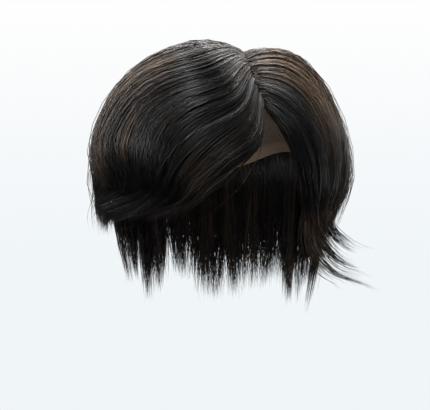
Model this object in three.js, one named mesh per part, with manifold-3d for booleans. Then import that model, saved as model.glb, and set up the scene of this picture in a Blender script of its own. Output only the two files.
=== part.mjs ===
// A men's toupee in millimetres, +Z up, the wearer facing -Y, the wearer's left at +X.
// A thin base cap sits on the head. The hair knotted into it is built in sections, as a barber
// parts it, and each section is a wall of overlapping locks fused together. The origin is the
// crown of the head, where the inside of the base cap rests.
import * as THREE from "three";
import { mergeVertices } from "three/addons/utils/BufferGeometryUtils.js";
import Module from "manifold-3d";

const wasm = await Module();
wasm.setup();

// The head that the hairpiece is cut for
const HEAD_BREADTH = 154;
const FOREHEAD_DEPTH = 93; // crown axis to the front of the forehead
const OCCIPUT_DEPTH = 101; // crown axis to the back of the skull
const VAULT_HEIGHT = 100; // crown down to the head's widest level
const SIDE_TAPER = 0.2; // how far each side draws in over one hair fall
const FRONT_TAPER = 0.14;
const NAPE_TAPER = 0.3;

// The base cap
const BASE_WALL = 1.2;
const BASE_COLUMNS = 32;
const BASE_ROWS = 7;
const HIGHEST_EDGE = 1; // drop below which the head form goes on plainly
const LOWEST_HAIR = 2.3; // drop that no hair reaches
const HEAD_ROWS_BELOW = 5;

// The hair
const HAIR_FALL = 100; // length below the widest level that a drop of 1 to 2 stands for
const HAIR_VOLUME = 24; // stand-off from the head at the fullest place
const LOCK_THICKNESS = 9;
const LAYER_STEP = 2; // how much lower every second lock lies

// Shares of a lock's own length, width and thickness
const LOCK_LAP = 0.16; // how far it laps each neighbour
const TIP_STAGGER = 0.06; // how much earlier every second lock ends
const SWELL_END = 0.35; // where it reaches its full thickness
const TAPER_START = 0.66; // where it starts to draw in
const ROOT_THICKNESS = 0.5;
const TIP_THICKNESS = 0.3;
const TIP_WIDTH = 0.16;

// The steps of a lock
const LOCK_STEPS = 9;
const LOCK_CORNERS = 6;

// Clearances
const PIECE_GAP = 0.4; // between two pieces
const LEAST_DROP = 0.001; // the crown itself has no azimuth
const SHORT_STEP = 0.01; // share of a line over which its direction is taken
const SAME_POINT = 1e-4; // points closer than this are one

// Finishes
const HAIR_COLOUR = 0x1d1714;
const HAIR_ROUGHNESS = 0.45;
const BASE_COLOUR = 0x6b5446;
const BASE_ROUGHNESS = 0.8;

// How far the base cap reaches, by azimuth: a front hairline that draws back at the temples,
// sides above the ears and a back edge over the occiput.
const BASE_EDGE = [
  { azimuth: 0, drop: 0.62 },
  { azimuth: 30, drop: 0.62 },
  { azimuth: 55, drop: 0.7 },
  { azimuth: 90, drop: 0.75 },
  { azimuth: 135, drop: 0.85 },
  { azimuth: 180, drop: 0.95 },
];

// The lines that the hair follows, each from its root on the cap over a crest, a bend and a turn
// to its tip. Each place is [azimuth, drop, lift]. Azimuth is in degrees from the forehead
// towards the wearer's left. Drop is 0 at the crown, 1 at the widest level and 2 one hair fall
// below it. Lift is the stand-off from the head as a share of HAIR_VOLUME; a root lies on the cap.
const FLOW = {
  // From the parting over the forehead to the wearer's right
  brow: {
    root: [28, 0.6], crest: [18, 0.84, 0.36], bend: [9, 0.95, 0.42],
    turn: [-8, 1.06, 0.46], tip: [-18, 1.24, 0.4],
  },
  forelock: {
    root: [27, 0.47], crest: [12, 0.69, 0.46], bend: [-9, 0.85, 0.56],
    turn: [-23, 1, 0.6], tip: [-38, 1.24, 0.5],
  },
  temple_right: {
    root: [30, 0.33], crest: [2, 0.56, 0.52], bend: [-30, 0.74, 0.7],
    turn: [-36, 0.98, 0.68], tip: [-58, 1.26, 0.62],
  },
  // From the parting and the crown over the wearer's right ear
  ear_front_right: {
    root: [38, 0.21], crest: [-14, 0.42, 0.54], bend: [-56, 0.68, 0.84],
    turn: [-55, 1, 0.8], tip: [-78, 1.27, 0.8],
  },
  ear_right: {
    root: [62, 0.13], crest: [-50, 0.31, 0.52], bend: [-86, 0.66, 0.88],
    turn: [-78, 1.02, 0.8], tip: [-94, 1.29, 0.86],
  },
  ear_back_right: {
    root: [140, 0.14], crest: [-96, 0.38, 0.54], bend: [-108, 0.76, 0.92],
    turn: [-104, 1.08, 0.78], tip: [-112, 1.34, 0.76],
  },
  // From the crown down the back
  back_right: {
    root: [180, 0.235], crest: [-134, 0.46, 0.54], bend: [-134, 0.82, 0.86],
    turn: [-130, 1.12, 0.76], tip: [-130, 1.4, 0.6],
  },
  back_middle: {
    root: [173, 0.29], crest: [180, 0.54, 0.56], bend: [179, 0.86, 0.74],
    turn: [178, 1.16, 0.64], tip: [176, 1.46, 0.46],
  },
  back_left: {
    root: [162, 0.25], crest: [136, 0.48, 0.6], bend: [132, 0.84, 0.82],
    turn: [126, 1.12, 0.7], tip: [120, 1.4, 0.5],
  },
  // From the crown and the parting over the wearer's left ear
  ear_back_left: {
    root: [120, 0.16], crest: [104, 0.4, 0.7], bend: [104, 0.78, 0.84],
    turn: [95, 1.06, 0.7], tip: [89, 1.32, 0.5],
  },
  ear_left: {
    root: [46, 0.22], crest: [76, 0.38, 0.76], bend: [83, 0.74, 0.78],
    turn: [74, 1.02, 0.68], tip: [66, 1.26, 0.5],
  },
  ear_front_left: {
    root: [31, 0.34], crest: [54, 0.45, 0.7], bend: [67, 0.71, 0.78],
    turn: [60, 0.98, 0.78], tip: [56, 1.26, 0.7],
  },
  // From the parting down the wearer's left temple
  temple_left: {
    root: [29, 0.48], crest: [42, 0.61, 0.56], bend: [50, 0.86, 0.7],
    turn: [51, 1.12, 0.7], tip: [57, 1.42, 0.9],
  },
  cheek_left: {
    root: [30, 0.61], crest: [36, 0.75, 0.4], bend: [41, 0.94, 0.46],
    turn: [45, 1.15, 0.5], tip: [52, 1.42, 0.66],
  },
  // Under the right side: from the temple past the ear to the nape
  under_temple_right: {
    root: [-44, 0.6], crest: [-46, 0.8, 0.26], bend: [-46, 0.98, 0.34],
    turn: [-50, 1.14, 0.42], tip: [-66, 1.34, 0.6],
  },
  under_ear_right: {
    root: [-84, 0.68], crest: [-82, 0.88, 0.28], bend: [-80, 1.04, 0.36],
    turn: [-84, 1.2, 0.46], tip: [-96, 1.38, 0.7],
  },
  jaw_right: {
    root: [-94, 0.68], crest: [-94, 0.96, 0.28], bend: [-95, 1.24, 0.32],
    turn: [-92, 1.54, 0.3], tip: [-82, 1.86, 0.2],
  },
  nape_right: {
    root: [-132, 0.78], crest: [-131, 1.04, 0.3], bend: [-130, 1.36, 0.3],
    turn: [-128, 1.66, 0.26], tip: [-124, 1.96, 0.2],
  },
  nape_middle: {
    root: [180, 0.88], crest: [180, 1.1, 0.32], bend: [180, 1.4, 0.3],
    turn: [180, 1.7, 0.26], tip: [180, 2.02, 0.2],
  },
  nape_left: {
    root: [132, 0.78], crest: [131, 1.04, 0.3], bend: [129, 1.38, 0.3],
    turn: [126, 1.7, 0.26], tip: [122, 2.02, 0.2],
  },
  jaw_left: {
    root: [94, 0.68], crest: [94, 1, 0.3], bend: [92, 1.34, 0.32],
    turn: [88, 1.7, 0.28], tip: [83, 2.08, 0.2],
  },
  // The lock that flicks out below the wearer's left ear
  flick_front: {
    root: [58, 0.66], crest: [53, 1.04, 0.36], bend: [50, 1.42, 0.6],
    turn: [60, 1.64, 1.1], tip: [76, 1.8, 2.3],
  },
  flick_back: {
    root: [84, 0.7], crest: [72, 1.02, 0.38], bend: [64, 1.28, 0.74],
    turn: [70, 1.44, 1.4], tip: [87, 1.58, 2.4],
  },
};
const STAGES = ["root", "crest", "bend", "turn", "tip"];

// The sections, upper ones first. Each runs between its flow lines and is made of that many locks.
// Neighbouring sections share a line.
const SECTIONS = [
  { name: "fringe", flow: ["brow", "forelock", "temple_right"], locks: 5 },
  {
    name: "top_right",
    flow: ["temple_right", "ear_front_right", "ear_right", "ear_back_right", "back_right"],
    locks: 8,
  },
  { name: "crown_back", flow: ["back_right", "back_middle", "back_left"], locks: 6 },
  { name: "top_left", flow: ["back_left", "ear_back_left", "ear_left", "ear_front_left"], locks: 6 },
  { name: "left_temple", flow: ["ear_front_left", "temple_left", "cheek_left"], locks: 4 },
  { name: "right_ear_lock", flow: ["under_temple_right", "under_ear_right"], locks: 3 },
  { name: "left_flick", flow: ["flick_front", "flick_back"], locks: 3 },
  { name: "nape_side_right", flow: ["jaw_right", "nape_right"], locks: 3 },
  { name: "nape_back", flow: ["nape_right", "nape_middle", "nape_left"], locks: 6 },
  { name: "nape_side_left", flow: ["nape_left", "jaw_left"], locks: 3 },
];

// The head's surface and its outward normal at a place, at a lift in millimetres.
function onHead(azimuth, drop, lift) {
  const turn = THREE.MathUtils.degToRad(azimuth);
  const polar = (Math.min(drop, 1) * Math.PI) / 2;
  const fall = Math.max(drop - 1, 0);
  const facingFront = Math.cos(turn) >= 0;
  const halfBreadth = (HEAD_BREADTH / 2) * (1 - SIDE_TAPER * fall);
  const halfLength = facingFront
    ? FOREHEAD_DEPTH * (1 - FRONT_TAPER * fall)
    : OCCIPUT_DEPTH * (1 - NAPE_TAPER * fall);
  const surface = new THREE.Vector3(
    halfBreadth * Math.sin(polar) * Math.sin(turn),
    -halfLength * Math.sin(polar) * Math.cos(turn),
    -VAULT_HEIGHT * (1 - Math.cos(polar)) - HAIR_FALL * fall,
  );
  const normal = new THREE.Vector3(
    surface.x / halfBreadth ** 2,
    surface.y / halfLength ** 2,
    Math.max(surface.z + VAULT_HEIGHT, 0) / VAULT_HEIGHT ** 2,
  ).normalize();
  return { point: surface.addScaledVector(normal, lift), normal };
}

// A place on the flat map of the scalp, in millimetres: the crown at its centre, the forehead
// ahead, and the lift as its height.
function onMap([azimuth, drop], lift) {
  const turn = THREE.MathUtils.degToRad(azimuth);
  const reach = drop * HAIR_FALL;
  return new THREE.Vector3(reach * Math.sin(turn), reach * Math.cos(turn), lift);
}

function fromMap(place) {
  const drop = Math.max(Math.hypot(place.x, place.y) / HAIR_FALL, LEAST_DROP);
  const azimuth = THREE.MathUtils.radToDeg(Math.atan2(place.x, place.y));
  return onHead(azimuth, drop, place.z);
}

// The base cap's edge at an azimuth, from the table above, the same on both sides.
function baseEdge(azimuth) {
  const side = Math.abs(((azimuth + 540) % 360) - 180);
  const next = Math.max(1, BASE_EDGE.findIndex((row) => row.azimuth >= side));
  const [from, to] = [BASE_EDGE[next - 1], BASE_EDGE[next]];
  const share = (side - from.azimuth) / (to.azimuth - from.azimuth);
  return THREE.MathUtils.lerp(from.drop, to.drop, THREE.MathUtils.smoothstep(share, 0, 1));
}

// A closed solid through rings of points that all have the same count.
function loft(rings) {
  const count = rings[0].length;
  const last = rings.length - 1;
  const faces = [];
  for (let ring = 0; ring < last; ring++) {
    for (let corner = 0; corner < count; corner++) {
      const a = ring * count + corner;
      const b = ring * count + ((corner + 1) % count);
      faces.push(a, b, b + count, a, b + count, a + count);
    }
  }
  for (let corner = 1; corner < count - 1; corner++) {
    faces.push(0, corner + 1, corner);
    faces.push(last * count, last * count + corner, last * count + corner + 1);
  }
  return solidFrom(rings.flat(), faces);
}

// A solid from points and triangles, turned inside out where they face inwards.
function solidFrom(points, faces) {
  const geometry = new THREE.BufferGeometry().setFromPoints(points).setIndex(faces);
  const merged = mergeVertices(geometry, SAME_POINT);
  const mesh = new wasm.Mesh({
    numProp: 3,
    vertProperties: merged.attributes.position.array,
    triVerts: new Uint32Array(merged.index.array),
  });
  const solid = new wasm.Manifold(mesh);
  return solid.volume() > 0 ? solid : solidFrom(points, [...faces].reverse());
}

// One ring of the cap's grid at a share of the way from the crown to its edge.
function capRing(share, lift) {
  return Array.from({ length: BASE_COLUMNS }, (_, column) => {
    const azimuth = (360 * column) / BASE_COLUMNS;
    return onHead(azimuth, Math.max(share * baseEdge(azimuth), LEAST_DROP), lift).point;
  });
}

function capRings(lift) {
  return Array.from({ length: BASE_ROWS + 1 }, (_, row) => capRing(row / BASE_ROWS, lift));
}

// The thin cap: down its outside from the crown, and back up its inside.
function buildBaseCap() {
  const outside = capRings(BASE_WALL);
  const inside = capRings(0).reverse();
  return loft([...outside, ...inside]);
}

// What the hair has to stay outside of: the head with the cap on it, down past the nape.
function buildHeadForm() {
  const lift = BASE_WALL + PIECE_GAP;
  const below = Array.from({ length: HEAD_ROWS_BELOW }, (_, row) => {
    const drop = THREE.MathUtils.lerp(HIGHEST_EDGE, LOWEST_HAIR, (row + 1) / HEAD_ROWS_BELOW);
    return Array.from({ length: BASE_COLUMNS }, (_, column) => {
      return onHead((360 * column) / BASE_COLUMNS, drop, lift).point;
    });
  });
  return loft([...capRings(lift), ...below]);
}

// A line of hair at a share of the way across a section, as a curve on the map.
function lineAcross(section, share) {
  const rootLift = BASE_WALL + PIECE_GAP + (LOCK_THICKNESS / 2) * ROOT_THICKNESS;
  const places = STAGES.map((stage) => {
    const across = section.flow.map((name) => {
      const place = FLOW[name][stage];
      return onMap(place, stage === "root" ? rootLift : place[2] * HAIR_VOLUME);
    });
    return new THREE.CatmullRomCurve3(across).getPoint(share);
  });
  return new THREE.CatmullRomCurve3(places, false, "centripetal");
}

// Where a line is at a share of its length, with the directions along it and out of the hair.
function frameAt(line, share) {
  const here = fromMap(line.getPoint(share));
  const before = fromMap(line.getPoint(Math.max(share - SHORT_STEP, 0))).point;
  const after = fromMap(line.getPoint(Math.min(share + SHORT_STEP, 1))).point;
  const along = after.sub(before).normalize();
  const out = here.normal.clone().addScaledVector(along, -along.dot(here.normal)).normalize();
  return { point: here.point, along, out };
}

// A lock is thinner at its root, and draws in and thins towards its tip.
function widthShare(done) {
  return THREE.MathUtils.lerp(1, TIP_WIDTH, THREE.MathUtils.smoothstep(done, TAPER_START, 1));
}

function thicknessShare(done) {
  const swell = THREE.MathUtils.lerp(ROOT_THICKNESS, 1, THREE.MathUtils.smoothstep(done, 0, SWELL_END));
  const taper = THREE.MathUtils.lerp(1, TIP_THICKNESS, THREE.MathUtils.smoothstep(done, TAPER_START, 1));
  return swell * taper;
}

// One lock as a lens lofted between two lines, grown by a margin where it is a cutter.
function buildLock(section, index, grow) {
  const lines = [0, 0.5, 1].map((part) => lineAcross(section, (index + part) / section.locks));
  const [near, middle, far] = lines;
  const odd = index % 2;
  const rings = Array.from({ length: LOCK_STEPS }, (_, step) => {
    const done = step / (LOCK_STEPS - 1);
    const share = done * (1 - TIP_STAGGER * odd);
    const { point, along, out } = frameAt(middle, share);
    const span = fromMap(far.getPoint(share)).point.sub(fromMap(near.getPoint(share)).point);
    const halfWidth = span.length() * (0.5 + LOCK_LAP) * widthShare(done) + grow;
    const halfThick = (LOCK_THICKNESS / 2) * thicknessShare(done) + grow;
    const across = span.normalize();
    const endShift = step === 0 ? -grow : step === LOCK_STEPS - 1 ? grow : 0;
    point.addScaledVector(along, endShift).addScaledVector(out, -LAYER_STEP * odd * thicknessShare(done));
    return Array.from({ length: LOCK_CORNERS }, (_, corner) => {
      const angle = (2 * Math.PI * corner) / LOCK_CORNERS;
      return point
        .clone()
        .addScaledVector(across, Math.cos(angle) * halfWidth)
        .addScaledVector(out, Math.sin(angle) * halfThick);
    });
  });
  return loft(rings);
}

function buildSection(section, grow) {
  const locks = Array.from({ length: section.locks }, (_, index) => buildLock(section, index, grow));
  return wasm.Manifold.union(locks);
}

// The largest body of a solid, without the crumbs that a cut leaves.
function mainBody(solid) {
  return solid.decompose().reduce((most, body) => (body.volume() > most.volume() ? body : most));
}

function meshOf(name, solid, colour, roughness) {
  const made = solid.getMesh();
  const positions = new Float32Array(made.numVert * 3);
  for (let vertex = 0; vertex < made.numVert; vertex++) {
    const at = vertex * made.numProp;
    positions.set(made.vertProperties.subarray(at, at + 3), vertex * 3);
  }
  const geometry = new THREE.BufferGeometry()
    .setAttribute("position", new THREE.BufferAttribute(positions, 3))
    .setIndex(new THREE.BufferAttribute(made.triVerts, 1));
  geometry.computeVertexNormals();
  const material = new THREE.MeshStandardMaterial({ color: colour, roughness, metalness: 0 });
  const mesh = new THREE.Mesh(geometry, material);
  mesh.name = name;
  return mesh;
}

// The upper sections keep their shape, and each later one is cut clear of those over it.
function buildHair() {
  let taken = buildHeadForm();
  return SECTIONS.map((section) => {
    const solid = mainBody(buildSection(section, 0).subtract(taken));
    taken = taken.add(buildSection(section, PIECE_GAP));
    return meshOf(section.name, solid, HAIR_COLOUR, HAIR_ROUGHNESS);
  });
}

const toupee = new THREE.Group();
toupee.add(meshOf("base_cap", buildBaseCap(), BASE_COLOUR, BASE_ROUGHNESS), ...buildHair());

export default toupee;
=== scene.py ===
"""A men's toupee with its hair as strands over a knotted base cap, on a plain pale studio sweep.

The strands follow the flow lines that the model's sections follow, so each mesh of strands stands
where the solid that it replaces stands. Lengths are in millimetres until they go into a mesh. What
is picked for each strand is a column, with a row for each strand, and what changes along a strand
has a column for each of its rings.
"""
import math
from types import SimpleNamespace

import bpy
import numpy as np
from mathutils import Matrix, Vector


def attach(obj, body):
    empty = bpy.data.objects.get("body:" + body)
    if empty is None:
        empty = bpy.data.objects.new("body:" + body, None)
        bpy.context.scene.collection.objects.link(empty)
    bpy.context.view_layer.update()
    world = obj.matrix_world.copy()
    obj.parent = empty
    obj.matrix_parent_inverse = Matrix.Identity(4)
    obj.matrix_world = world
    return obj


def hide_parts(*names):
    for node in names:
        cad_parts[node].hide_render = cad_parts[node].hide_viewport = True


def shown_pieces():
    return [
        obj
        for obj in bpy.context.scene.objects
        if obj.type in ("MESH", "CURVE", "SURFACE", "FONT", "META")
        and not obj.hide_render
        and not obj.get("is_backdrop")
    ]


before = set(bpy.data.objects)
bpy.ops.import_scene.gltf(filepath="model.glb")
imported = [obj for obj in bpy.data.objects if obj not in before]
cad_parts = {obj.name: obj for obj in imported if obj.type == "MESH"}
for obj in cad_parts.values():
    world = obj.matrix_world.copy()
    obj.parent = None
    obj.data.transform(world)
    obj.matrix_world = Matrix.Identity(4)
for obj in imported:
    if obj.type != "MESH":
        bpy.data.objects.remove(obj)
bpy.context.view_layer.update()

MM = 0.001
SEED = 20

# The photograph
CAMERA_DISTANCE = 1400
CAMERA_ELEVATION = 3
CAMERA_TARGET = (-4.65, 0, -117)
FOCAL_PIXELS = 1808
PHOTO_WIDTH = 430
SENSOR_WIDTH = 36

# The head that the hairpiece is cut for
HEAD_BREADTH = 154
FOREHEAD_DEPTH = 93
OCCIPUT_DEPTH = 101
VAULT_HEIGHT = 100
SIDE_TAPER = 0.2
FRONT_TAPER = 0.14
NAPE_TAPER = 0.3

# The base cap
BASE_WALL = 1.2
BASE_EDGE_AZIMUTHS = (0, 30, 55, 90, 135, 180)
BASE_EDGE_DROPS = (0.62, 0.62, 0.7, 0.75, 0.85, 0.95)
BASE_COLUMNS = 96
BASE_ROWS = 28
EDGE_ROLL = 5  # rings round the cap's edge
TAPE_WIDTH = 9
TAPE_BLEND = 0.6  # how far the tape's inner edge fades to each side

# The hair, as in the model
HAIR_FALL = 100
HAIR_VOLUME = 24
LOCK_THICKNESS = 9
LAYER_STEP = 2
SWELL_END = 0.35
TAPER_START = 0.66
ROOT_THICKNESS = 0.5
GAP = 0.4
LEAST_DROP = 0.001
SHORT_STEP = 0.01
SAME_POINT = 1e-4
LEAST_LENGTH = 1e-9
GRID_ACROSS = 121
GRID_ALONG = 97
STAGES = 5

# A strand's thickness
STRAND_SIDES = 3
STRAND_RADIUS = 0.29
RADIUS_SHARES = (0.75, 1.25)  # from the finest strand to the thickest
DEEP_RADIUS = 1.35  # how much thicker the strands deep in a lock are
TIP_RADIUS = 0.28  # share of its own radius
THIN_START = 0.45
RING_POWER = 1.1  # over 1, the rings lie closer where the root bends over

# Where strands root, as shares of their lines
ROOT_CROSSING = 0.05  # how far before its line's start a root may stand, as across the parting
ROOT_SETBACK = 0.03  # how far along its line it may stand
LATE_ROOTS = 0.5  # share of the strands that root further along, anywhere on the cap
LATE_ROOT_POWER = 0.8
EDGE_MARGIN = 0.03  # drop from the last roots to the cap's edge
RISE = 0.07  # how far along a strand has come up to its place in the lock
LATE_RISE = 0.2
ROOT_LIFT = BASE_WALL - 0.3
LEAST_LIFT = 2.2

# Where strands end, as shares of their lines
CLUMP_SHORTER = 0.1
ODD_SHORTER = 0.02
SHORTER_POWER = 1.3

# Clumps, and the tufts in them
CLUMP_WIDTHS = (0.45, 1.6)
CLUMP_LAP = 1.35  # how far a clump laps its neighbours
TUFT_LAP = 1.1
TUFTS_A_SIDE = 2.5
TUFT_PINCH = 0.3
DRAW_IN_RUN = (0.1, 0.5)
DRAW_IN_POWER = 3

# Sway, as turns along a strand and as shares of its section's sway, or millimetres in depth
OWN_TURNS = (0.5, 1.3)
OWN_DEPTH_TURNS = (0.5, 1.4)
CLUMP_TURNS = (0.4, 1)
OWN_SWAY = 0.5
LOOSE_SWAY = 0.3  # how much a loose strand sways with its clump
CLUMP_DEPTH_SWAY = 0.6
SWAY_GROWTH = 2
TIP_LEAN = 1.2  # how far the tips of clumps lean to the side, for each millimetre of sway
OWN_LEAN = 0.5
LEAN_RUN = (0.45, 1.05)

# Depth in a lock, as shares of half its thickness, and of LAYER_STEP for every other lock
TIP_THICKNESS = 0.45
RANK_POWER = 1.3  # over 1, more strands lie near the lock's face
LATE_DEEPER = 0.35
RANK_DEPTH = 0.6
SEAT_DEPTH = 0.38
CROWN_DEPTH = 0.42
ODD_DEPTH = 0.6
FLARE_START = 0.78

# How far the hair's waves move a strand
CLUMP_WAVINESS = (0.35, 1.3)
OWN_WAVINESS = (0.85, 1.15)
DEEP_STRANDS = 0.22
DEEP_WAVINESS = 0.3
DEEP_LIFTS = (0.35, 0.9)  # how much of their lift the strands deep in a lock keep
SINK_RUN = (0.05, 0.3)

# Strays
STRAY_STRANDS = 0.035
LEAST_STRAY = 0.3
STRAY_LIFT = 6
STRAY_LIFT_RUN = (0.1, 0.8)
STRAY_LONGER = 0.06
STRAY_SWAY = 2
STRAY_DRIFT = 5  # how far their tips drift to the side
DRIFT_RUN = (0.2, 1)

# How brown strands are, from 0 to 1, and how dull
PLAIN_TINT = 0.2
OWN_TINT = 0.1
CLUMP_TINT = 0.07
LIGHT_STRANDS = 0.1
LIGHT_TINT = 0.22
TIP_TINT_START = 0.55
ROOT_DULL_RUN = (0.04, 0.2)

# A strand's column of the texture
UV_COLUMN_HEIGHT = 20  # for each unit of its width
UV_SIDE_MARGIN = 0.15
UV_END_MARGIN = 0.03
UV_ROOT_CAP = 0.02

# The lines that the hair follows, from root to tip. Each place is an azimuth in degrees from the
# forehead towards the wearer's left, a drop of 0 at the crown, 1 at the head's widest level and 2 one
# hair fall below it, and a lift off the head as a share of HAIR_VOLUME. A root lies on the cap.
FLOW = {
    "brow": ((28, 0.6), (18, 0.84, 0.36), (9, 0.95, 0.42), (-8, 1.06, 0.46), (-18, 1.24, 0.4)),
    "forelock": ((27, 0.47), (12, 0.69, 0.46), (-9, 0.85, 0.56), (-23, 1, 0.6), (-38, 1.24, 0.5)),
    "temple_right": ((30, 0.33), (2, 0.56, 0.52), (-30, 0.74, 0.7), (-36, 0.98, 0.68), (-58, 1.26, 0.62)),
    "ear_front_right": ((38, 0.21), (-14, 0.42, 0.54), (-56, 0.68, 0.84), (-55, 1, 0.8), (-78, 1.27, 0.8)),
    "ear_right": ((62, 0.13), (-50, 0.31, 0.52), (-86, 0.66, 0.88), (-78, 1.02, 0.8), (-94, 1.29, 0.86)),
    "ear_back_right": (
        (140, 0.14), (-96, 0.38, 0.54), (-108, 0.76, 0.92), (-104, 1.08, 0.78), (-112, 1.34, 0.76),
    ),
    "back_right": (
        (180, 0.235), (-134, 0.46, 0.54), (-134, 0.82, 0.86), (-130, 1.12, 0.76), (-130, 1.4, 0.6),
    ),
    "back_middle": ((173, 0.29), (180, 0.54, 0.56), (179, 0.86, 0.74), (178, 1.16, 0.64), (176, 1.46, 0.46)),
    "back_left": ((162, 0.25), (136, 0.48, 0.6), (132, 0.84, 0.82), (126, 1.12, 0.7), (120, 1.4, 0.5)),
    "ear_back_left": ((120, 0.16), (104, 0.4, 0.7), (104, 0.78, 0.84), (95, 1.06, 0.7), (89, 1.32, 0.5)),
    "ear_left": ((46, 0.22), (76, 0.38, 0.76), (83, 0.74, 0.78), (74, 1.02, 0.68), (66, 1.26, 0.5)),
    "ear_front_left": ((31, 0.34), (54, 0.45, 0.7), (67, 0.71, 0.78), (60, 0.98, 0.78), (56, 1.26, 0.7)),
    "temple_left": ((29, 0.48), (42, 0.61, 0.56), (50, 0.86, 0.7), (51, 1.12, 0.7), (57, 1.42, 0.9)),
    "cheek_left": ((30, 0.61), (36, 0.75, 0.4), (41, 0.94, 0.46), (45, 1.15, 0.5), (52, 1.42, 0.66)),
    "under_temple_right": (
        (-44, 0.6), (-46, 0.8, 0.26), (-46, 0.98, 0.34), (-50, 1.14, 0.42), (-66, 1.34, 0.6),
    ),
    "under_ear_right": (
        (-84, 0.68), (-82, 0.88, 0.28), (-80, 1.04, 0.36), (-84, 1.2, 0.46), (-96, 1.38, 0.7),
    ),
    "jaw_right": ((-94, 0.68), (-94, 0.96, 0.28), (-95, 1.24, 0.32), (-92, 1.54, 0.3), (-82, 1.86, 0.2)),
    "nape_right": ((-132, 0.78), (-131, 1.04, 0.3), (-130, 1.36, 0.3), (-128, 1.66, 0.26), (-124, 1.96, 0.2)),
    "nape_middle": ((180, 0.88), (180, 1.1, 0.32), (180, 1.4, 0.3), (180, 1.7, 0.26), (180, 2.02, 0.2)),
    "nape_left": ((132, 0.78), (131, 1.04, 0.3), (129, 1.38, 0.3), (126, 1.7, 0.26), (122, 2.02, 0.2)),
    "jaw_left": ((94, 0.68), (94, 1, 0.3), (92, 1.34, 0.32), (88, 1.7, 0.28), (83, 2.08, 0.2)),
    "flick_front": ((58, 0.66), (53, 1.04, 0.36), (50, 1.42, 0.6), (60, 1.64, 1.1), (76, 1.8, 2.3)),
    "flick_back": ((84, 0.7), (72, 1.02, 0.38), (64, 1.28, 0.74), (70, 1.44, 1.4), (87, 1.58, 2.4)),
}
FRINGE = ("brow", "forelock", "temple_right")
TOP_RIGHT = ("temple_right", "ear_front_right", "ear_right", "ear_back_right", "back_right")
LEFT_TEMPLE = ("ear_front_left", "temple_left", "cheek_left")

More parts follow.
